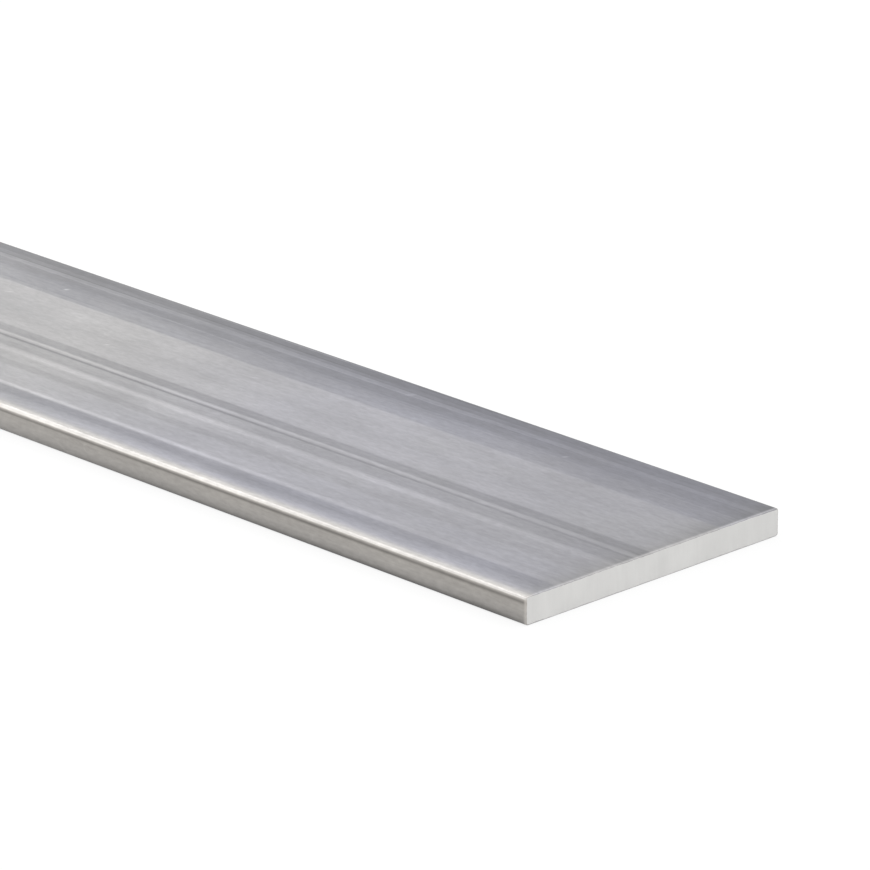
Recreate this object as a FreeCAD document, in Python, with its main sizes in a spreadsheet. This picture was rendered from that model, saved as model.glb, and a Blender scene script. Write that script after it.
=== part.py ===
import FreeCAD, Part
import math
import os
import Sketcher

# A flat bar of extruded aluminium, lying on one wide face as it is kept in a rack.
# It is one solid of one section from end to end: a flat rectangle whose four long
# edges keep the small rounding of the die. Both ends are sawn square.
#
# Millimetres. X runs along the bar, Y across its width and Z up. The origin is the
# middle of the underside.

SHEET = "Dimensions"
NODE = "flat_bar"
PARTS_FOLDER = "parts"

# Each driving dimension: its name, its value and what it measures on the bar.
DIMENSIONS = (
    ("bar_length", 1000.0, "length between the two sawn ends"),
    ("bar_width", 35.0, "width across the section"),
    ("bar_thickness", 3.0, "thickness between the two wide faces"),
    ("corner_radius", 0.3, "rounding of the four long edges"),
)

# How a sketch constraint names a point of an edge, and the sketch's own origin.
START = 1
END = 2
ORIGIN = (-1, 1)


def add_dimensions(doc):
    """Put the driving dimensions in a sheet, one row each, and name their cells."""
    sheet = doc.addObject("Spreadsheet::Sheet", SHEET)
    for row, (name, value, meaning) in enumerate(DIMENSIONS, start=1):
        sheet.set(f"A{row}", name)
        sheet.set(f"B{row}", str(value))
        sheet.set(f"C{row}", meaning)
        sheet.setAlias(f"B{row}", name)
    doc.recompute()
    return sheet


def section_edges(width, thickness, radius):
    """The section's outline, anticlockwise: bottom, right, top and left side in turn,
    each followed by the corner that leads to the next side."""
    right = width / 2
    inner = right - radius
    top = thickness - radius
    sides = (
        ((-inner, 0), (inner, 0)),
        ((right, radius), (right, top)),
        ((inner, thickness), (-inner, thickness)),
        ((-right, top), (-right, radius)),
    )
    corner_centres = ((inner, radius), (inner, top), (-inner, top), (-inner, radius))
    normal = FreeCAD.Vector(0, 0, 1)
    quarter_turn = math.pi / 2

    edges = []
    for count, (side, centre) in enumerate(zip(sides, corner_centres)):
        first, last = (FreeCAD.Vector(*point) for point in side)
        edges.append(Part.LineSegment(first, last))
        circle = Part.Circle(FreeCAD.Vector(*centre), normal, radius)
        begin = (count - 1) * quarter_turn
        edges.append(Part.ArcOfCircle(circle, begin, begin + quarter_turn))
    return edges


def bind(sketch, constraint, name, dimension):
    """Add a named constraint and tie its value to a cell of the sheet."""
    index = sketch.addConstraint(constraint)
    sketch.renameConstraint(index, name)
    sketch.setExpression(f"Constraints.{name}", f"{SHEET}.{dimension}")


def add_section(body, sheet):
    """The closed section, drawn across the bar, centred in width, its foot on Z = 0."""
    width = sheet.bar_width
    thickness = sheet.bar_thickness
    radius = sheet.corner_radius

    sketch = body.newObject("Sketcher::SketchObject", "Section")
    plane = next(f for f in body.Origin.OriginFeatures if f.Role == "YZ_Plane")
    sketch.AttachmentSupport = [(plane, "")]
    sketch.MapMode = "FlatFace"

    edges = section_edges(width, thickness, radius)
    sketch.addGeometry(edges, False)
    bottom, right, top, left = range(0, len(edges), 2)
    corners = range(1, len(edges), 2)

    for edge in range(len(edges)):
        following = (edge + 1) % len(edges)
        sketch.addConstraint(Sketcher.Constraint("Tangent", edge, END, following, START))
    for level in (bottom, top):
        sketch.addConstraint(Sketcher.Constraint("Horizontal", level))
    for upright in (right, left):
        sketch.addConstraint(Sketcher.Constraint("Vertical", upright))
    for corner in corners[1:]:
        sketch.addConstraint(Sketcher.Constraint("Equal", corners[0], corner))
    sketch.addConstraint(Sketcher.Constraint("Symmetric", bottom, START, bottom, END, *ORIGIN))

    across = Sketcher.Constraint("DistanceX", left, END, right, START, width)
    bind(sketch, across, "width", "bar_width")
    through = Sketcher.Constraint("DistanceY", bottom, END, top, START, thickness)
    bind(sketch, through, "thickness", "bar_thickness")
    rounding = Sketcher.Constraint("Radius", corners[0], radius)
    bind(sketch, rounding, "corner", "corner_radius")
    return sketch


def add_flat_bar(doc, sheet):
    """The bar: its section run half the length to each side of the middle."""
    body = doc.addObject("PartDesign::Body", "FlatBar")
    body.Label = NODE
    section = add_section(body, sheet)
    run = body.newObject("PartDesign::Pad", "Run")
    run.Profile = section
    run.SideType = "Symmetric"
    run.setExpression("Length", f"{SHEET}.bar_length")
    section.Visibility = False
    body.Tip = run
    body.Placement = FreeCAD.Placement(FreeCAD.Vector(0, 0, 0), FreeCAD.Rotation())
    return body


def check_document(doc, bodies):
    """Stop before anything is written if a feature failed or a shape isn't sound."""
    for item in doc.Objects:
        if {"Invalid", "Error"} & set(item.State):
            raise RuntimeError(f"{item.Label} could not be built: {item.State}")
    for body in bodies:
        shape = body.Shape
        if shape.isNull() or not shape.isValid() or len(shape.Solids) != 1:
            raise RuntimeError(f"{body.Label} is not one sound solid")


def write_parts(bodies):
    """Write each piece to a file of its own, named after its label."""
    os.makedirs(PARTS_FOLDER, exist_ok=True)
    for body in bodies:
        body.Shape.exportStep(os.path.join(PARTS_FOLDER, f"{body.Label}.step"))
        box = body.Shape.BoundBox
        size = f"{box.XLength:.3f} x {box.YLength:.3f} x {box.ZLength:.3f} mm"
        print(f"{body.Label}: {size}, volume {body.Shape.Volume:.3f} mm3")


def main():
    doc = FreeCAD.newDocument("FlatBarModel")
    sheet = add_dimensions(doc)
    bodies = [add_flat_bar(doc, sheet)]
    doc.recompute()
    check_document(doc, bodies)
    write_parts(bodies)


main()
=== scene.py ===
import math

import bpy
import numpy as np
from mathutils import Matrix, Vector


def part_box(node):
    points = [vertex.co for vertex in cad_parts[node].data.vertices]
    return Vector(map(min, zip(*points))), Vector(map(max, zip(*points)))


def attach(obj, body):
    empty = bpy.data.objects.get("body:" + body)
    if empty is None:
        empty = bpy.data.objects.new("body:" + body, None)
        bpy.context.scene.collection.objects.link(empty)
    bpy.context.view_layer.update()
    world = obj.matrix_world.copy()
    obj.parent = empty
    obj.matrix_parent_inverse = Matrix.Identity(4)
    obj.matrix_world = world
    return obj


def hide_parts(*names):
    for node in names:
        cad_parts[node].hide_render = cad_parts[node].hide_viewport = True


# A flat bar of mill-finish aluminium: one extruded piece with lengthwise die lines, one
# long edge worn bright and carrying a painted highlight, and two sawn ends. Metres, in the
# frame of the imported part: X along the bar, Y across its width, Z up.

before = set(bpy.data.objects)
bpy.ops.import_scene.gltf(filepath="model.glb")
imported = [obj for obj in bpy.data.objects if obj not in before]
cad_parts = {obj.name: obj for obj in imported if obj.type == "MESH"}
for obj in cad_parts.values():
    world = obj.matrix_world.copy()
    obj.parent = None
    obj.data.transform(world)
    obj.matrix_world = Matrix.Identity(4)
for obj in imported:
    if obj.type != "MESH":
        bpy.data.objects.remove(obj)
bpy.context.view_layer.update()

MM = 0.001
NODE = "flat_bar"

_, bar_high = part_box(NODE)
HALF_LENGTH = bar_high.x
HALF_WIDTH = bar_high.y
THICKNESS = bar_high.z
CORNER_RADIUS = 0.3 * MM

# How finely the skin is divided. Across the wide faces the points stand closer where the
# lines are thin: from and to these distances from the near edge, in millimetres. Along
# the bar the rings of points stand closer beside the cuts and at each dent, and stations
# that agree to so many decimals are one.
CORNER_STEPS = 8
SIDE_STEPS = 24
FLAT_STEP = 0.19 * MM
THIN_LINE_STEP = 0.09 * MM
THIN_LINE_STRETCHES = ((4.1, 5.1), (13.9, 15.7), (31.5, 32.7))
PLAIN_SPACING = 10 * MM
CLOSE_SPACING = 0.4 * MM
CLOSE_STRETCH = 3 * MM
NICK_STATIONS = 7
STATION_DECIMALS = 7

# The skin: the facing from which it counts as flat, how far a wide face falls off beside
# the long edges and over what width, and the trace of unevenness around the section,
# which swings once each few points.
FLAT_FACING = 0.99
ROLL_OFF_DEPTH = 0.02 * MM
ROLL_OFF_WIDTH = 1.7 * MM
SKIN_UNEVENNESS = 0.001 * MM
SKIN_UNEVEN_POINTS = 2.7

# The small broken edge around the sawn ends: its size and tone, how much of the tone below
# it hides, and how its size changes around the section, in fine and in coarse swings that
# are counted in points.
EDGE_BREAK = 0.12 * MM
BREAK_STEPS = 3
BREAK_TONE = 1.32
BREAK_COVER = 0.65
BREAK_MEAN_SIZE = 0.9
BREAK_CHANGE = 0.25
BREAK_FINE_POINTS = 2.3
BREAK_COARSE_POINTS = 14.0

# How the wide faces fall off and darken beside the cut, the darkening unevenly across the
# width.
CUT_FALL_DEPTH = 0.015 * MM
CUT_FALL_WIDTH = 2.0 * MM
CUT_SHADE = 0.13
CUT_SHADE_CHANGE = 0.4
CUT_SHADE_LENGTH = 3.5 * MM

# The blade's marks on the ends: how deep they lie, how far they lean, and the spacing and
# share of the fine and the coarse ones. A point this close to an end plane lies on it.
SAW_DEPTH = 0.010 * MM
SAW_LEAN = 0.12
SAW_FINE_SPACING = 0.35 * MM
SAW_FINE_SHARE = 0.6
SAW_COARSE_SPACING = 1.7 * MM
SAW_COARSE_SHARE = 0.4
END_TOLERANCE = 1e-7

# Die lines of the upper face, as bands across the width: where each begins and ends, in
# millimetres from the near edge, how much lighter or darker it is, and which share of
# that is left at the cut.
UPPER_BANDS = (
    (0.6, 4.1, -0.20, 0.45),
    (2.7, 4.0, -0.08, 0.8),
    (4.33, 4.83, 0.27, 0.15),
    (5.05, 8.25, -0.07, 0.3),
    (7.55, 8.05, 0.04, 1.0),
    (8.35, 9.65, -0.16, 0.4),
    (9.8, 11.1, -0.03, 1.0),
    (11.3, 12.1, 0.15, 0.55),
    (12.4, 14.2, -0.13, 1.1),
    (13.5, 14.1, 0.07, -0.3),
    (14.25, 14.66, -0.40, 0.55),
    (14.88, 15.22, 0.18, 0.15),
    (15.39, 16.9, -0.24, 0.85),
    (19.2, 20.2, -0.02, 1.0),
    (20.2, 21.7, -0.05, 0.8),
    (23.2, 23.7, -0.02, 1.0),
    (24.4, 25.4, -0.02, 1.0),
    (26.6, 27.4, -0.21, 0.7),
    (27.4, 29.45, -0.26, 0.7),
    (29.45, 30.1, -0.31, 0.8),
    (30.1, 31.7, -0.385, 0.8),
    (31.7, 32.55, -0.31, 0.8),
    (32.55, 33.25, -0.435, 0.75),
    (33.25, 34.4, -0.485, 0.75),
    (34.4, 35.0, -0.48, 0.8),
)
# The same for the underside, which lies on the floor.
UNDER_BANDS = (
    (0.8, 2.6, -0.12, 0.8),
    (5.4, 5.9, 0.12, 0.3),
    (7.0, 10.2, -0.10, 0.8),
    (13.1, 13.6, -0.20, 0.7),
    (13.7, 14.2, 0.10, 0.3),
    (18.4, 22.9, -0.08, 0.9),
    (24.6, 25.0, 0.14, 0.3),
    (28.3, 31.2, -0.14, 0.8),
    (33.0, 34.4, -0.22, 0.8),
)
BAND_BLUR = 0.06 * MM
BAND_DEPTH = 0.02 * MM
# The lines reach their full strength some way along the bar. They waver a little, their
# strength comes and goes, and towards the cut they lean away from the near edge.
LINE_RISE = 60 * MM
LINE_WAVER = 0.06 * MM
LINE_WAVER_LENGTH = 16 * MM
LINE_CHANGE = 0.08
LINE_CHANGE_LENGTH = 55 * MM
LINE_LEAN = 0.2 * MM
LINE_LEAN_LENGTH = 60 * MM

# Soft dull or bright patches of the upper face: distance from the front end and from the
# near edge, length and width (all in millimetres), and how much lighter or darker.
PATCHES = (
    (0, 3.2, 1.8, 3.4, 0.16),
    (0.8, 25.6, 2.8, 3.4, -0.12),
    (1.5, 13.8, 5, 3.6, 0.05),
    (2.4, 33.5, 6, 2.6, 0.07),
    (4, 1.9, 10, 2.4, 0.07),
    (28, 2.3, 40, 2.8, -0.11),
    (42, 2.5, 24, 2.6, -0.12),
    (62, 3.3, 16, 0.8, -0.07),
    (80, 6.0, 26, 2.4, -0.05),
    (30, 13.4, 84, 4.6, -0.04),
    (13, 16.0, 26, 12.0, -0.05),
    (92, 17.5, 50, 2.2, 0.08),
    (30, 30.6, 46, 6.0, -0.09),
    (38, 33.8, 70, 2.2, -0.13),
    (100, 33.6, 24, 1.6, -0.06),
)

# The metal is duller towards the cut ends, and cooler in colour: fully up to the first
# distance from them but for the strip beside the cut, and not at all from the second on.
END_DULLING = 0.17
END_DULLING_LENGTH = 28 * MM
COOL_STRETCH = 45 * MM
COOL_END = 88 * MM

# Strips of the upper face that are stained, bluer and blotchy: where each begins and
# ends, in millimetres from the near edge, and how strongly.
STAINED_STRIPS = (
    (1.0, 4.2, 0.8),
    (4.2, 8.3, 0.25),
    (26.7, 29.5, 0.75),
    (29.5, 34.7, 1.0),
)
STAIN_BLUR = 0.3 * MM

# Narrow sides: their tone, duller towards the cut ends and a little lighter at the cut
# itself, the thin dark line below the worn, painted-highlight edge, a painted shade above
# the foot, and the dark foot, a painted contact shadow, which comes and goes along the bar
# and is less warm in colour.
SIDE_TONE = 0.85
SIDE_TONE_RISE = 0.15
SIDE_RISE_BEGIN = 55 * MM
SIDE_RISE_END = 85 * MM
SIDE_TONE_AT_CUT = 0.08
SIDE_LINE_DEPTH = 0.71 * MM
SIDE_LINE_WANDER = 0.04 * MM
SIDE_LINE_WIDTH = 0.25 * MM
SIDE_LINE_NARROWING = 0.25
SIDE_LINE_CHANGE = -0.40
SIDE_SHADE_HEIGHT = 1.3 * MM
SIDE_SHADE_CHANGE = -0.16
FOOT_HEIGHT = 0.45 * MM
FOOT_SHADE_CHANGE = -0.55
FOOT_WEAKEST = 0.4
FOOT_SWING = 200 * MM
FOOT_LOSS_AT_CUT = 0.5
FOOT_WARMTH = 0.62

# The near upper edge, partly worn bright by handling and partly a painted highlight: how
# much lighter the painted sheen is at the edge, how wide it is, how far it reaches down the
# side and how much brighter it is there. All but the width swing along the bar. Its colour
# is less warm than the side's, and beside the cut a painted glow makes the edge brighter
# still.
WORN_PAINTED_HIGHLIGHT = 0.62
WORN_PAINTED_HIGHLIGHT_SWING = 0.08
WORN_PAINTED_HIGHLIGHT_WIDTH = 3.25 * MM
WORN_HIGHLIGHT_REACH_DOWN = 0.40 * MM
WORN_HIGHLIGHT_REACH_SWING = 0.055 * MM
WORN_HIGHLIGHT_REACH_BLUR = 0.065 * MM
WORN_HIGHLIGHT_SIDE_GAIN = 2.15
WORN_HIGHLIGHT_GAIN_SWING = 0.22
NEAR_EDGE_SWING = 150 * MM
WORN_HIGHLIGHT_WARMTH = 0.5
WORN_HIGHLIGHT_WARMTH_WIDTH = 0.9 * MM
CUT_PAINTED_GLOW = 0.45
CUT_PAINTED_GLOW_LENGTH = 20 * MM
CUT_PAINTED_GLOW_WIDTH = 0.75 * MM

# Small dents of handling on the upper face: distance from the front end and from the
# near edge, length, width, depth (all in millimetres) and angle to the bar in degrees.
NICKS = (
    (99.9, 29.1, 0.45, 0.35, 0.035, 50),
    (83.0, 20.1, 0.6, 0.30, 0.022, 48),
    (103.6, 24.2, 0.8, 0.30, 0.014, 47),
    (64.5, 24.1, 1.0, 0.30, 0.012, 20),
    (49.2, 32.1, 0.9, 0.45, 0.014, 45),
    (24.9, 30.3, 0.7, 0.40, 0.014, 60),
)
# How much each dent's depth lightens the metal: a painted glint on the dents.
NICK_PAINTED_GLINT = 18 / MM

# Seeds of the random draws. Each end adds its side to the saw's, each band its number.
FINE_BREAK_SEED = 21
SKIN_SEED = 22
CUT_SHADE_SEED = 23
COARSE_BREAK_SEED = 24
SAW_FINE_SEED = 31
SAW_COARSE_SEED = 41
LINE_WAVER_SEED = 50
LINE_CHANGE_SEED = 100

# The mesh: its two materials by number, what colours its points, what the inner points of
# the ends have for it, the angle from which an edge is sharp, and the UV map. The long
# faces fill the map's lower part and the two ends lie side by side above them.
MILL = 0
SAWN = 1
LOOKS = ("tone", "warmth", "coolness", "stain")
END_LOOK = 1.0
SHARP_ANGLE = math.radians(50)
GRAIN_MAP = "grain"
BAKE_MAP = "OFBake"
MAP_LONG_TOP = 0.9
MAP_END_LEFT = 0.02
MAP_END_STRIDE = 0.5
MAP_END_WIDTH = 0.46
MAP_END_FOOT = 0.92
MAP_END_HEIGHT = 0.07

# Noises run from about the low to about the high value around their middle.
NOISE_LOW = 0.3
NOISE_MIDDLE = 0.5
NOISE_HIGH = 0.7

# Noises of the mill finish: swings each metre along, across and up, detail and roughness.
HAIR = ((25, 5200, 5200), 3.0, 0.6)
STREAK = ((9, 1500, 1500), 2.0, 0.55)
GRAIN = ((900, 2800, 2800), 2.0, 0.6)
CLOUD = ((75, 210, 210), 3.0, 0.55)
TARNISH = ((60, 110, 110), 2.0, 0.5)
# By what share each noise shades the metal, how far the tarnish shifts its colour, and by
# what share the tarnish changes the cool and the stained places.
HAIR_SHADE = 0.03
STREAK_SHADE = 0.03
GRAIN_SHADE = 0.08
CLOUD_SHADE = 0.08
TARNISH_SHIFT = 0.14
COOL_CHANGE = 0.3
STAIN_CHANGE = 0.4

# Thin curved marks: how they are stretched, how many swings each metre they and their
# groups have, how detailed both are, how the marks bend, how thin they are, from where to
# where a group fades in, and how much they lighten the metal and stand out of it.
WISP_STRETCH = (1.0, 2.4, 2.4)
WISP_SCALE = 150.0
WISP_DETAIL = 1.0
WISP_BEND = 1.2
WISP_THICKNESS = 0.012
WISP_GROUP_SCALE = 45.0
WISP_GROUP_FADE = (0.56, 0.64)
WISP_SHADE = 0.07
WISP_HEIGHT = 0.3

# Shine of the mill finish. It is drawn out across the bar, a quarter turn from the lines.
MILL_ROUGHNESS = 0.38
HAIR_ROUGHNESS = 0.03
CLOUD_ROUGHNESS = 0.03
MILL_BUMP = 0.15
MILL_BUMP_DEPTH = 0.01 * MM
MILL_ANISOTROPY = 0.5
QUARTER_TURN = 0.25

# Colour of the plain metal by its tone, halved so that it runs from 0 to 1, and what
# tints it: the narrow sides are warm, the ends cool and the stained strips bluish. Warm
# places take their colour from this tone or a lighter one.
PATINA = (
    (0.27, (0.398, 0.394, 0.401)),
    (0.50, (0.401, 0.394, 0.395)),
    (1.00, (0.400, 0.394, 0.393)),
)
WARM_PATINA_TONE = 1.1
NO_TINT = (1.0, 1.0, 1.0)
SIDE_TINT = (1.040, 1.0, 0.924)
COOL_TINT = (0.994, 1.0, 1.075)
STAIN_TINT = (0.988, 1.0, 1.055)

# The sawn finish: its colour, noises as above, by what share they shade it, its
# roughness from the smoothest to the roughest place, and its relief.
SAWN_COLOUR = (0.690, 0.686, 0.675)
SAWN_CUTS = ((1, 3200, 260), 3.0, 0.6)
SAWN_CLOUD = ((1, 260, 260), 2.0, 0.5)
SAWN_SHADE = 0.03
SAWN_ROUGHNESS = (0.50, 0.60)
SAWN_BUMP = 0.25
SAWN_BUMP_DEPTH = 0.02 * MM

# The studio: the world's level where it only lights, how far the floor reaches, how pale
# it is, and which share of its whiteness is its own where it shows.
WORLD_LEVEL = 0.8
FLOOR_REACH = 60.0
FLOOR_PALENESS = 0.95
FLOOR_GLOW = 0.82

# The photographed view: from where the camera looks, its lens and sensor in millimetres,
# the picture's side in pixels, where in it the near bottom corner of the front end falls,
# and how far that corner is from the camera along its line of sight.
CAMERA_AZIMUTH = math.radians(45.92)
CAMERA_ELEVATION = math.radians(19.79)
CAMERA_LENS = 264.4
SENSOR = 36.0
IMAGE_SIDE = 870
CORNER_PIXEL = (526.17, 626.56)
CORNER_DEPTH = 606.7 * MM
CLIP_START = 0.01
CLIP_END = 200


def smooth(part):
    """A share from 0 to 1, eased at both ends."""
    return part * part * (3 - 2 * part)


def value_noise(places, spacing, seed):
    """Smooth noise from -1 to 1 at the given places, with one swing each spacing."""
    places = np.asarray(places, float) / spacing
    first = math.floor(places.min()) - 1
    count = math.ceil(places.max()) - first + 3
    heights = np.random.RandomState(seed).uniform(-1, 1, count)
    cell = np.floor(places).astype(int)
    part = smooth(places - cell)
    return heights[cell - first] * (1 - part) + heights[cell - first + 1] * part


def soft_step(places, edge, blur):
    """0 before the edge and 1 after it, with a soft change of about twice the blur."""
    return 0.5 + 0.5 * np.tanh((places - edge) / blur)


def eased(places, begin, end):
    """0 up to the begin, 1 from the end on, and a smooth rise between them."""
    return smooth(np.clip((places - begin) / (end - begin), 0, 1))


def swing(to_end, length):
    """Runs from -1 at the cut to 1 and back, once each length."""
    return -np.cos(2 * math.pi * to_end / length)


def flat_places(begin, end):
    """Places across a wide face, closer together where its lines are thin. The last gap
    is about as wide as the others."""
    last_start = end - 1.5 * FLAT_STEP
    places = []
    place = begin
    while place < last_start:
        from_near = (place + HALF_WIDTH) / MM
        thin = any(low < from_near < high for low, high in THIN_LINE_STRETCHES)
        place += THIN_LINE_STEP if thin else FLAT_STEP
        places.append(place)
    return np.array(places)


def section_columns():
    """Places across the width, from the near side to the far side, and the angle of
    the outline there: 0 on the narrow side, a quarter turn on the flat."""
    turn = np.linspace(0, math.pi / 2, CORNER_STEPS + 1)
    near = -HALF_WIDTH + CORNER_RADIUS * (1 - np.cos(turn))
    flat = flat_places(near[-1], -near[-1])
    places = np.concatenate([near, flat, -near[::-1]])
    angles = np.concatenate([turn, np.full(len(flat), math.pi / 2), turn[::-1]])
    return places, angles


def section_loop():
    """The section's outline as seen from the front end, anticlockwise from the near
    bottom corner: its places and its outward normals, each across and up."""
    across, angle = section_columns()
    drop = CORNER_RADIUS * (1 - np.sin(angle))
    outwards = np.sign(across) * np.cos(angle)
    facing = np.sin(angle)
    rise = np.linspace(CORNER_RADIUS, THICKNESS - CORNER_RADIUS, SIDE_STEPS + 1)[1:-1]
    side = np.full(len(rise), HALF_WIDTH)
    places = np.concatenate([
        np.c_[across, drop],
        np.c_[side, rise],
        np.c_[across, THICKNESS - drop][::-1],
        np.c_[-side, rise[::-1]],
    ])
    level = np.zeros(len(rise))
    normals = np.concatenate([
        np.c_[outwards, -facing],
        np.c_[level + 1, level],
        np.c_[outwards, facing][::-1],
        np.c_[level - 1, level],
    ])
    return places, normals


def stations():
    """Distances from the front end at which the skin has a ring of points."""
    length = 2 * HALF_LENGTH
    broken = EDGE_BREAK * (1 - np.cos(np.linspace(0, math.pi / 2, BREAK_STEPS + 1)))
    close = np.arange(CLOSE_SPACING, CLOSE_STRETCH, CLOSE_SPACING)
    plain = np.arange(PLAIN_SPACING / 2, length, PLAIN_SPACING)
    places = [broken, close, plain, length - close, length - broken]
    for place, _, nick_length, nick_width, _, _ in NICKS:
        reach = np.linspace(-0.5, 0.5, NICK_STATIONS) * (nick_length + nick_width)
        places.append((place + reach) * MM)
    return np.unique(np.round(np.concatenate(places), STATION_DECIMALS))


def band_tone(to_end, from_near, bands):
    """1 on plain metal, less on a dark band and more on a light one."""
    rise = np.clip(to_end / LINE_RISE, 0, 1) ** 2
    lean = LINE_LEAN * np.exp(-to_end / LINE_LEAN_LENGTH)
    tone = 1
    for number, (begin, end, change, share_at_cut) in enumerate(bands):
        waver = value_noise(to_end, LINE_WAVER_LENGTH, LINE_WAVER_SEED + number)
        shift = lean + LINE_WAVER * waver
        coming = value_noise(to_end, LINE_CHANGE_LENGTH, LINE_CHANGE_SEED + number)
        uneven = 1 + LINE_CHANGE * coming
        strength = (share_at_cut + (1 - share_at_cut) * rise) * uneven
        begins = soft_step(from_near, begin * MM + shift, BAND_BLUR)
        ends = soft_step(from_near, end * MM + shift, BAND_BLUR)
        tone = tone + change * strength * (begins - ends)
    return tone


def patch_tone(from_front, from_near):
    """How much lighter or darker the upper face is in its soft patches."""
    tone = 0
    for place, across, length, width, change in PATCHES:
        along = (from_front - place * MM) / (0.5 * length * MM)
        aside = (from_near - across * MM) / (0.5 * width * MM)
        tone = tone + change * np.exp(-along ** 2 - aside ** 2)
    return tone


def staining(from_near):
    """How strongly the upper face is stained, across the width."""
    stain = 0
    for begin, end, strength in STAINED_STRIPS:
        begins = soft_step(from_near, begin * MM, STAIN_BLUR)
        ends = soft_step(from_near, end * MM, STAIN_BLUR)
        stain = stain + strength * (begins - ends)
    return stain


def side_tone(to_end, height):
    """Tone of a narrow side by height: plain, with a thin dark line, darker below in a painted
    shade.
    """
    plain = SIDE_TONE + SIDE_TONE_RISE * eased(to_end, SIDE_RISE_BEGIN, SIDE_RISE_END)
    plain = plain + SIDE_TONE_AT_CUT * np.exp(-to_end / CUT_FALL_WIDTH)
    along = swing(to_end, NEAR_EDGE_SWING)
    line_depth = SIDE_LINE_DEPTH + SIDE_LINE_WANDER * along
    line_width = SIDE_LINE_WIDTH * (1 - SIDE_LINE_NARROWING * along)
    line = np.exp(-((THICKNESS - height - line_depth) / (0.5 * line_width)) ** 2)
    shade = np.clip(1 - height / SIDE_SHADE_HEIGHT, 0, 1)
    return plain + SIDE_LINE_CHANGE * line + SIDE_SHADE_CHANGE * shade


def foot_painted_shade(to_end, edge_distance, height):
    """How much darker the metal is around a lower long edge: a painted contact shadow."""
    along = swing(to_end, FOOT_SWING)
    share = 0.5 * (1 + FOOT_WEAKEST) - 0.5 * (1 - FOOT_WEAKEST) * along
    share = share * (1 - FOOT_LOSS_AT_CUT * np.exp(-to_end / CUT_FALL_WIDTH))
    return FOOT_SHADE_CHANGE * share * np.exp(-(edge_distance ** 2 + height ** 2) / FOOT_HEIGHT ** 2)


def wear_and_highlight_reach(to_end, height):
    """1 on the upper face and down to where the wear and painted highlight end on the side,
    then 0.
    """
    depth = WORN_HIGHLIGHT_REACH_DOWN + WORN_HIGHLIGHT_REACH_SWING * swing(to_end, NEAR_EDGE_SWING)
    return 1 - soft_step(THICKNESS - height, depth, WORN_HIGHLIGHT_REACH_BLUR)


def worn_edge_and_painted_highlight(to_end, from_near, height, facing):
    """Extra tone of the near upper edge: wear from handling and a painted highlight."""
    along = swing(to_end, NEAR_EDGE_SWING)
    painted_sheen = WORN_PAINTED_HIGHLIGHT * np.clip(1 - from_near / WORN_PAINTED_HIGHLIGHT_WIDTH, 0, 1) ** 2
    painted_sheen = painted_sheen * (1 + WORN_PAINTED_HIGHLIGHT_SWING * along)
    gain = WORN_HIGHLIGHT_SIDE_GAIN + WORN_HIGHLIGHT_GAIN_SWING * along
    down = eased(THICKNESS - height, 0, CORNER_RADIUS)
    # A painted glow on the edge beside the cut.
    glow = CUT_PAINTED_GLOW * np.exp(-to_end / CUT_PAINTED_GLOW_LENGTH - (from_near / CUT_PAINTED_GLOW_WIDTH) ** 2)
    glow = glow * np.clip(facing, 0, 1) ** 4
    return (painted_sheen * (1 + (gain - 1) * down) + glow) * wear_and_highlight_reach(to_end, height)


def nick_depth(from_front, from_near):
    """How deep the dents of handling lie under the upper face."""
    depth = 0
    for place, across, length, width, deep, angle in NICKS:
        along = from_front - place * MM
        aside = from_near - across * MM
        turn = math.radians(angle)
        forward = along * math.cos(turn) - aside * math.sin(turn)
        sideways = along * math.sin(turn) + aside * math.cos(turn)
        away = (forward / (0.5 * length * MM)) ** 2 + (sideways / (0.5 * width * MM)) ** 2
        depth = depth + deep * MM * np.exp(-away)
    return depth


class Skin:
    """Where the skin's points lie and which way they face, with the bands and dents that
    shape and colour them. A row is a ring of points at one station, and a column runs
    along the bar."""

    def __init__(self):
        self.places, self.normals = section_loop()
        self.from_front = stations()[:, None]
        self.to_end = np.minimum(self.from_front, 2 * HALF_LENGTH - self.from_front)
        self.from_near = (self.places[:, 0] + HALF_WIDTH)[None, :]
        self.height = self.places[None, :, 1]
        self.edge_distance = HALF_WIDTH - np.abs(self.places[None, :, 0])
        self.facing = self.normals[None, :, 1]
        self.upper = np.clip(self.facing, 0, 1) ** 2
        self.under = np.clip(-self.facing, 0, 1) ** 2
        self.flat = self.upper + self.under

        self.cut = np.exp(-self.to_end / CUT_FALL_WIDTH)
        uneven = value_noise(self.from_near, CUT_SHADE_LENGTH, CUT_SHADE_SEED)
        self.cut_shade = CUT_SHADE * self.cut * (1 + CUT_SHADE_CHANGE * uneven)
        self.upper_bands = band_tone(self.to_end, self.from_near, UPPER_BANDS)
        self.under_bands = band_tone(self.to_end, self.from_near, UNDER_BANDS)
        self.dents = nick_depth(self.from_front, self.from_near) * (self.facing > FLAT_FACING)


def skin_tone(skin):
    """How light the metal is: 1 on the plain wide faces, far from the ends."""
    upper_tone = skin.upper_bands + patch_tone(skin.from_front, skin.from_near)
    faces = upper_tone * skin.upper + skin.under_bands * skin.under - skin.cut_shade * skin.flat
    faces = faces * (1 - END_DULLING * np.exp(-skin.to_end / END_DULLING_LENGTH))
    tone = faces + side_tone(skin.to_end, skin.height) * (1 - skin.flat)
    # A painted glint on the dents.
    tone = tone + NICK_PAINTED_GLINT * skin.dents
    # A painted contact shadow at the lower long edges.
    tone = tone + foot_painted_shade(skin.to_end, skin.edge_distance, skin.height)
    # The near upper edge: wear and a painted highlight.
    tone = tone + worn_edge_and_painted_highlight(skin.to_end, skin.from_near, skin.height, skin.facing)
    return tone + BREAK_COVER * (skin.to_end <= EDGE_BREAK) * (BREAK_TONE - tone)


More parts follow.
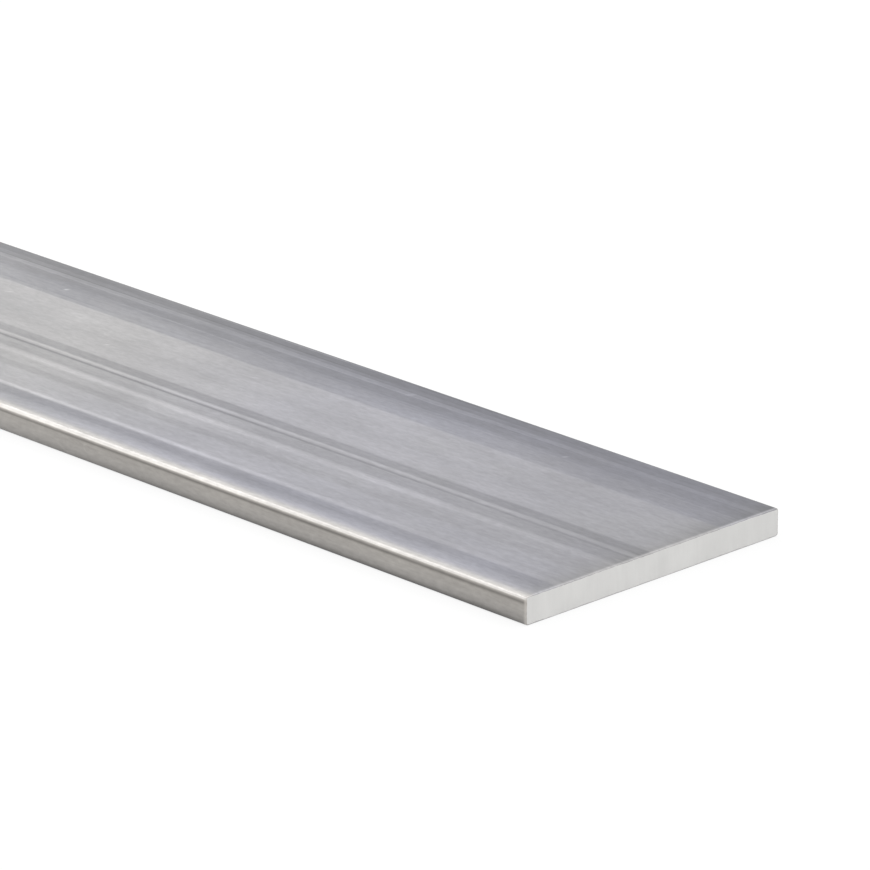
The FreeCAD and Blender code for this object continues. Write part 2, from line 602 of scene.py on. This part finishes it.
def skin_looks(skin):
    """What colours the points: their tone, warmth, coolness and stain."""
    # The band of the near upper edge that is worn and carries the painted highlight.
    worn_highlight = np.exp(-(skin.from_near / WORN_HIGHLIGHT_WARMTH_WIDTH) ** 2)
    worn_highlight = worn_highlight * wear_and_highlight_reach(skin.to_end, skin.height)
    side_warmth = FOOT_WARMTH + (1 - FOOT_WARMTH) * skin.height / THICKNESS
    warmth = (1 - skin.flat) * side_warmth * (1 - worn_highlight) + WORN_HIGHLIGHT_WARMTH * worn_highlight
    near_end = 1 - eased(skin.to_end, COOL_STRETCH, COOL_END)
    coolness = skin.flat * (1 - worn_highlight) * (1 - skin.cut) * near_end
    stain = np.broadcast_to(skin.upper * staining(skin.from_near), coolness.shape)
    return dict(zip(LOOKS, (skin_tone(skin), warmth, coolness, stain)))


def skin_inset(skin):
    """How far the points lie inside the plain section, against their normals."""
    around = np.arange(len(skin.places))
    short = np.clip(1 - skin.to_end / EDGE_BREAK, 0, 1)
    fine = value_noise(around, BREAK_FINE_POINTS, FINE_BREAK_SEED)
    coarse = value_noise(around, BREAK_COARSE_POINTS, COARSE_BREAK_SEED)
    size = BREAK_MEAN_SIZE + BREAK_CHANGE * fine + BREAK_CHANGE * coarse
    inset = EDGE_BREAK * (1 - np.sqrt(1 - short ** 2)) * size
    roll_off = np.clip(1 - skin.edge_distance / ROLL_OFF_WIDTH, 0, 1) ** 2
    inset = inset + ROLL_OFF_DEPTH * skin.flat * roll_off
    inset = inset + CUT_FALL_DEPTH * skin.cut * skin.flat
    inset = inset + BAND_DEPTH * (1 - skin.upper_bands) * skin.upper
    inset = inset + BAND_DEPTH * (1 - skin.under_bands) * skin.under
    inset = inset + SKIN_UNEVENNESS * value_noise(around, SKIN_UNEVEN_POINTS, SKIN_SEED)
    return inset + skin.dents


def skin_rings(skin):
    """The skin's points, as an array of rings."""
    inset = skin_inset(skin)
    rings = np.empty((len(skin.from_front), len(skin.places), 3))
    rings[:, :, 0] = HALF_LENGTH - skin.from_front
    rings[:, :, 1] = skin.places[:, 0] - skin.normals[:, 0] * inset
    rings[:, :, 2] = skin.places[:, 1] - skin.normals[:, 1] * inset
    return rings


def long_faces(rings):
    """The faces between the rings, and the places of their corners on the UV map."""
    ring_count, around = rings.shape[:2]
    steps = np.linalg.norm(np.diff(rings[0], axis=0, append=rings[0][:1]), axis=1)
    girth = np.concatenate([[0], np.cumsum(steps)])
    up = MAP_LONG_TOP * girth / girth[-1]
    along = 0.5 - rings[:, 0, 0] / (2 * HALF_LENGTH)
    faces, corner_uvs = [], []
    for ring in range(ring_count - 1):
        here, there = ring * around, (ring + 1) * around
        for place in range(around):
            following = (place + 1) % around
            faces.append((here + place, there + place, there + following, here + following))
            corner_uvs += [
                (along[ring], up[place]),
                (along[ring + 1], up[place]),
                (along[ring + 1], up[place + 1]),
                (along[ring], up[place + 1]),
            ]
    return faces, corner_uvs


def end_border(ring):
    """Point numbers of an end face, by column and row. The border is the ring's own
    points, and the inner ones are None until they are made."""
    columns = (len(ring) - 2 * (SIDE_STEPS - 1)) // 2
    grid = [[None] * (SIDE_STEPS + 1) for _ in range(columns)]
    far = columns + SIDE_STEPS - 1
    for column in range(columns):
        grid[column][0] = ring[column]
        grid[column][SIDE_STEPS] = ring[far + columns - 1 - column]
    for row in range(1, SIDE_STEPS):
        grid[columns - 1][row] = ring[columns + row - 1]
        grid[0][row] = ring[len(ring) - row]
    return grid


def fill_end(grid, points, looks):
    """Makes the inner points of an end face, on straight lines from foot to head. The
    sawn finish doesn't read what colours them."""
    for column in grid[1:-1]:
        foot, head = points[column[0]], points[column[SIDE_STEPS]]
        for row in range(1, SIDE_STEPS):
            column[row] = len(points)
            points.append(foot + (head - foot) * row / SIDE_STEPS)
            for values in looks.values():
                values.append(END_LOOK)


def end_faces(grid, end, points):
    """The faces of the front end (0) or the back end (1), and the places of their
    corners on the UV map."""
    faces, corner_uvs = [], []
    for near, far in zip(grid, grid[1:]):
        for row in range(SIDE_STEPS):
            corners = [near[row], far[row], far[row + 1], near[row + 1]]
            if end == 1:
                corners.reverse()
            faces.append(tuple(corners))
            for corner in corners:
                across = 0.5 + points[corner][1] / (2 * HALF_WIDTH)
                height = points[corner][2] / THICKNESS
                corner_uvs.append((
                    MAP_END_LEFT + MAP_END_STRIDE * end + MAP_END_WIDTH * across,
                    MAP_END_FOOT + MAP_END_HEIGHT * height,
                ))
    return faces, corner_uvs


def saw_marks(points):
    """Presses the blade's fine marks into both end faces."""
    for side in (1, -1):
        on_end = side * points[:, 0] > HALF_LENGTH - END_TOLERANCE
        slant = points[on_end, 1] + SAW_LEAN * points[on_end, 2]
        fine = value_noise(slant, SAW_FINE_SPACING, SAW_FINE_SEED + side)
        coarse = value_noise(slant, SAW_COARSE_SPACING, SAW_COARSE_SEED + side)
        marks = SAW_FINE_SHARE * fine + SAW_COARSE_SHARE * coarse
        points[on_end, 0] -= side * SAW_DEPTH * (1 + marks)
    return points


def new_mesh(points, faces, face_slots, corner_uvs, looks):
    """The bar's mesh, with its faces' materials, its UV maps and what colours it."""
    mesh = bpy.data.meshes.new("extruded_bar")
    mesh.from_pydata(points.tolist(), [], faces)
    mesh.polygons.foreach_set("material_index", face_slots)
    mesh.polygons.foreach_set("use_smooth", np.ones(len(faces), bool))
    for name in (GRAIN_MAP, BAKE_MAP):
        uv_map = mesh.uv_layers.new(name=name)
        uv_map.data.foreach_set("uv", np.array(corner_uvs, np.float32).ravel())
    for name, values in looks.items():
        attribute = mesh.attributes.new(name, "FLOAT", "POINT")
        attribute.data.foreach_set("value", np.array(values, np.float32))
    mesh.set_sharp_from_angle(angle=SHARP_ANGLE)
    mesh.validate()
    return mesh


def build_bar():
    """The skin of the whole bar as one closed mesh."""
    skin = Skin()
    rings = skin_rings(skin)
    looks = {name: list(values.reshape(-1)) for name, values in skin_looks(skin).items()}
    ring_count, around = rings.shape[:2]
    points = list(rings.reshape(-1, 3))
    faces, corner_uvs = long_faces(rings)
    face_slots = [MILL] * len(faces)

    for end, first in enumerate((0, (ring_count - 1) * around)):
        grid = end_border(range(first, first + around))
        fill_end(grid, points, looks)
        closing, closing_uvs = end_faces(grid, end, points)
        faces += closing
        face_slots += [SAWN] * len(closing)
        corner_uvs += closing_uvs

    return new_mesh(saw_marks(np.array(points)), faces, face_slots, corner_uvs, looks)


class Tree:
    """Short ways to add nodes to a material's or the world's node tree."""

    def __init__(self, owner):
        owner.use_nodes = True
        self.nodes = owner.node_tree.nodes
        self.links = owner.node_tree.links
        self.nodes.clear()

    def add(self, kind, inputs=None, **settings):
        node = self.nodes.new(kind)
        for name, value in settings.items():
            setattr(node, name, value)
        for name, value in (inputs or {}).items():
            if isinstance(value, bpy.types.NodeSocket):
                self.links.new(value, node.inputs[name])
            else:
                node.inputs[name].default_value = value
        return node

    def math(self, operation, first, second=0.0, third=0.0, clamp=False):
        inputs = {0: first, 1: second, 2: third}
        node = self.add("ShaderNodeMath", inputs, operation=operation, use_clamp=clamp)
        return node.outputs[0]

    def attribute(self, name):
        return self.add("ShaderNodeAttribute", attribute_name=name).outputs["Fac"]

    def noise(self, place, scale, detail, roughness=0.5, bend=0.0):
        inputs = {"Vector": place, "Scale": scale, "Detail": detail}
        inputs.update({"Roughness": roughness, "Distortion": bend})
        return self.add("ShaderNodeTexNoise", inputs).outputs["Fac"]

    def stretched(self, place, scale):
        node = self.add("ShaderNodeMapping", {"Vector": place, "Scale": scale})
        return node.outputs["Vector"]

    def drawn_out(self, place, scale, detail, roughness):
        """A noise with its own scale along, across and up."""
        return self.noise(self.stretched(place, scale), 1.0, detail, roughness)

    def spread(self, value, low, high):
        """A noise, brought to run from about low to about high."""
        inputs = {"Value": value, "From Min": NOISE_LOW, "From Max": NOISE_HIGH}
        inputs.update({"To Min": low, "To Max": high})
        return self.add("ShaderNodeMapRange", inputs, clamp=False).outputs["Result"]

    def varied(self, value, noise, share):
        """The value, changed up and down by a share of itself: with the noise, or against
        it where the share is negative."""
        return self.math("MULTIPLY", value, self.spread(noise, 1 - share, 1 + share))

    def shifted(self, value, noise, amount):
        """The value, changed up and down by the amount with the noise."""
        return self.math("ADD", self.spread(noise, -amount, amount), value)

    def fade(self, value, start, full):
        """0 where the value is at start or beyond, rising softly to 1 where it is full."""
        inputs = {"Value": value, "From Min": start, "From Max": full}
        node = self.add("ShaderNodeMapRange", inputs, interpolation_type="SMOOTHSTEP")
        return node.outputs["Result"]

    def ramp(self, value, stops):
        node = self.add("ShaderNodeValToRGB", {"Fac": value})
        elements = node.color_ramp.elements
        while len(elements) < len(stops):
            elements.new(0.5)
        for element, (position, colour) in zip(elements, stops):
            element.position = position
            element.color = (*colour, 1)
        return node.outputs["Color"]

    def colour_times(self, colour, factor):
        node = self.add("ShaderNodeVectorMath", {0: colour, 1: factor}, operation="MULTIPLY")
        return node.outputs[0]

    def blend(self, factor, first, second):
        node = self.add("ShaderNodeMix", data_type="RGBA")
        self.links.new(factor, node.inputs["Factor"])
        for socket, colour in ((node.inputs[6], first), (node.inputs[7], second)):
            if isinstance(colour, bpy.types.NodeSocket):
                self.links.new(colour, socket)
            else:
                socket.default_value = (*colour, 1)
        return node.outputs[2]

    def bump(self, height, strength, depth):
        inputs = {"Height": height, "Strength": strength, "Distance": depth}
        return self.add("ShaderNodeBump", inputs).outputs["Normal"]

    def metal(self, inputs):
        """Ends a material's tree with a bare metal surface."""
        shader = self.add("ShaderNodeBsdfPrincipled", {"Metallic": 1.0, **inputs})
        self.add("ShaderNodeOutputMaterial", {"Surface": shader.outputs[0]})


def wisps(tree, place):
    """Thin, short, curved marks in loose groups, from 0 to 1."""
    noise = tree.noise(place, WISP_SCALE, WISP_DETAIL, bend=WISP_BEND)
    away = tree.math("ABSOLUTE", tree.math("SUBTRACT", noise, NOISE_MIDDLE))
    line = tree.fade(away, WISP_THICKNESS, 0.0)
    group = tree.noise(place, WISP_GROUP_SCALE, WISP_DETAIL)
    return tree.math("MULTIPLY", line, tree.fade(group, *WISP_GROUP_FADE))


def mill_tint(tree, tone, warmth, coolness, stain, tarnish):
    """Colour of the mill finish before it is shaded."""
    mottled = tree.shifted(tone, tarnish, TARNISH_SHIFT)
    mottled = tree.math("MAXIMUM", mottled, tree.math("MULTIPLY", warmth, WARM_PATINA_TONE))
    patina = tree.ramp(tree.math("MULTIPLY", mottled, 0.5), PATINA)
    cast = tree.colour_times(
        tree.blend(tree.varied(coolness, tarnish, COOL_CHANGE), NO_TINT, COOL_TINT),
        tree.blend(tree.varied(stain, tarnish, -STAIN_CHANGE), NO_TINT, STAIN_TINT),
    )
    return tree.colour_times(patina, tree.blend(warmth, cast, SIDE_TINT))


def mill_finish():
    """Aluminium as it leaves the die: satin, streaked along the bar, with soft clouds."""
    material = bpy.data.materials.new("mill_aluminium")
    tree = Tree(material)
    place = tree.add("ShaderNodeTexCoord").outputs["Object"]
    tone, warmth, coolness, stain = [tree.attribute(name) for name in LOOKS]
    hair = tree.drawn_out(place, *HAIR)
    streak = tree.drawn_out(place, *STREAK)
    grain = tree.drawn_out(place, *GRAIN)
    cloud = tree.drawn_out(place, *CLOUD)
    tarnish = tree.drawn_out(place, *TARNISH)
    marks = wisps(tree, tree.stretched(place, WISP_STRETCH))

    shade = tree.varied(tone, hair, HAIR_SHADE)
    shade = tree.varied(shade, streak, STREAK_SHADE)
    shade = tree.varied(shade, grain, GRAIN_SHADE)
    shade = tree.varied(shade, cloud, CLOUD_SHADE)
    shade = tree.math("MULTIPLY_ADD", marks, WISP_SHADE, third=shade)
    tint = mill_tint(tree, tone, warmth, coolness, stain, tarnish)

    roughness = tree.shifted(MILL_ROUGHNESS, hair, HAIR_ROUGHNESS)
    roughness = tree.shifted(roughness, cloud, CLOUD_ROUGHNESS)
    relief = tree.math("MULTIPLY_ADD", marks, WISP_HEIGHT, third=hair)
    tangent = tree.add("ShaderNodeTangent", direction_type="UV_MAP", uv_map=GRAIN_MAP)
    tree.metal({
        "Base Color": tree.colour_times(tint, shade),
        "Roughness": roughness,
        "Normal": tree.bump(relief, MILL_BUMP, MILL_BUMP_DEPTH),
        "Anisotropic": MILL_ANISOTROPY,
        "Anisotropic Rotation": QUARTER_TURN,
        "Tangent": tangent.outputs[0],
    })
    return material


def sawn_finish():
    """Fresh cut aluminium: paler and rougher, with the blade's marks across it."""
    material = bpy.data.materials.new("sawn_aluminium")
    tree = Tree(material)
    place = tree.add("ShaderNodeTexCoord").outputs["Object"]
    cuts = tree.drawn_out(place, *SAWN_CUTS)
    cloud = tree.drawn_out(place, *SAWN_CLOUD)
    shade = tree.varied(tree.spread(cuts, 1 - SAWN_SHADE, 1 + SAWN_SHADE), cloud, SAWN_SHADE)
    tree.metal({
        "Base Color": tree.colour_times(SAWN_COLOUR, shade),
        "Roughness": tree.spread(cuts, *SAWN_ROUGHNESS),
        "Normal": tree.bump(cuts, SAWN_BUMP, SAWN_BUMP_DEPTH),
    })
    return material


def shown_plainly(tree):
    """1 for what the camera, a mirror or clear glass sees, 0 for light on matt things."""
    path = tree.add("ShaderNodeLightPath").outputs
    seen = tree.math("ADD", path["Is Camera Ray"], path["Is Glossy Ray"], clamp=True)
    return tree.math("ADD", seen, path["Is Transmission Ray"], clamp=True)


def white_world():
    """White where it shows, and a lower plain level where it only lights."""
    world = bpy.data.worlds.new("studio")
    bpy.context.scene.world = world
    tree = Tree(world)
    shown = shown_plainly(tree)
    strength = tree.math("MULTIPLY_ADD", shown, 1 - WORLD_LEVEL, third=WORLD_LEVEL)
    back = tree.add("ShaderNodeBackground", {"Color": (1, 1, 1, 1), "Strength": strength})
    tree.add("ShaderNodeOutputWorld", {"Surface": back.outputs[0]})


def white_floor():
    """A wide pale floor that shows white, and keeps a faint shadow of the bar."""
    mesh = bpy.data.meshes.new("floor")
    signs = ((-1, -1), (1, -1), (1, 1), (-1, 1))
    corners = [(x * FLOOR_REACH, y * FLOOR_REACH, 0) for x, y in signs]
    mesh.from_pydata(corners, [], [(0, 1, 2, 3)])
    floor = bpy.data.objects.new("floor", mesh)
    bpy.context.scene.collection.objects.link(floor)

    material = bpy.data.materials.new("white_floor")
    tree = Tree(material)
    pale = (FLOOR_PALENESS, FLOOR_PALENESS, FLOOR_PALENESS, 1)
    matt = tree.add("ShaderNodeBsdfDiffuse", {"Color": pale})
    glow = tree.add("ShaderNodeEmission", {"Color": (1, 1, 1, 1), "Strength": 1.0})
    share = tree.math("MULTIPLY", shown_plainly(tree), FLOOR_GLOW)
    both = tree.add("ShaderNodeMixShader", {0: share, 1: matt.outputs[0], 2: glow.outputs[0]})
    tree.add("ShaderNodeOutputMaterial", {"Surface": both.outputs[0]})
    mesh.materials.append(material)


def add_lamp(name, kind, place, target, energy, **settings):
    """Adds a lamp that shines towards the target and isn't seen itself."""
    light = bpy.data.lights.new(name, kind)
    light.energy = energy
    for key, value in settings.items():
        setattr(light, key, value)
    lamp = bpy.data.objects.new(name, light)
    lamp.location = place
    direction = Vector(target) - Vector(place)
    lamp.rotation_euler = direction.to_track_quat("-Z", "Y").to_euler()
    lamp.visible_camera = False
    bpy.context.scene.collection.objects.link(lamp)


def studio_lamps():
    """A broad soft key, a long softbox over the near edge and a low lamp at the back."""
    add_lamp(
        "key", "SUN", place=(0.2, 0.1, 1.0), target=(0, 0, 0), energy=0.9,
        angle=math.radians(80),
    )
    add_lamp(
        "softbox", "AREA", place=(-0.15, -0.30, 0.6), target=(0.1, 0, 0), energy=1.4,
        shape="RECTANGLE", size=1.4, size_y=0.4,
    )
    add_lamp(
        "back_lamp", "AREA", place=(-0.75, 0.42, 0.30), target=(0.4, 0, 0), energy=6.5,
        shape="RECTANGLE", size=0.5, size_y=0.3,
    )


def photographed_view():
    """Stands the camera so that the near bottom corner of the front end falls on its
    place in the picture, seen along the photographed direction."""
    flat_x, flat_y = math.sin(CAMERA_AZIMUTH), -math.cos(CAMERA_AZIMUTH)
    level = math.cos(CAMERA_ELEVATION)
    back = Vector((flat_x * level, flat_y * level, math.sin(CAMERA_ELEVATION)))
    right = Vector((-flat_y, flat_x, 0))
    up = back.cross(right)

    metres_per_pixel = CORNER_DEPTH * SENSOR / CAMERA_LENS / IMAGE_SIDE
    to_right = (CORNER_PIXEL[0] - IMAGE_SIDE / 2) * metres_per_pixel
    upwards = (IMAGE_SIDE / 2 - CORNER_PIXEL[1]) * metres_per_pixel
    corner = Vector((HALF_LENGTH, -HALF_WIDTH, 0))

    data = bpy.data.cameras.new("camera")
    data.lens = CAMERA_LENS
    data.sensor_width = SENSOR
    data.clip_start = CLIP_START
    data.clip_end = CLIP_END
    camera = bpy.data.objects.new("camera", data)
    camera.location = corner + back * CORNER_DEPTH - right * to_right - up * upwards
    camera.rotation_euler = Matrix((right, up, back)).transposed().to_euler()
    bpy.context.scene.collection.objects.link(camera)
    bpy.context.scene.camera = camera


def dress_bar():
    """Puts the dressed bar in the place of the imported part's node."""
    mesh = build_bar()
    mesh.materials.append(mill_finish())
    mesh.materials.append(sawn_finish())
    bar = bpy.data.objects.new("extruded_bar", mesh)
    bpy.context.scene.collection.objects.link(bar)
    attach(bar, "root")
    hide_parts(NODE)


def main():
    bpy.context.scene.view_settings.view_transform = "Standard"
    dress_bar()
    white_world()
    white_floor()
    studio_lamps()
    photographed_view()


main()
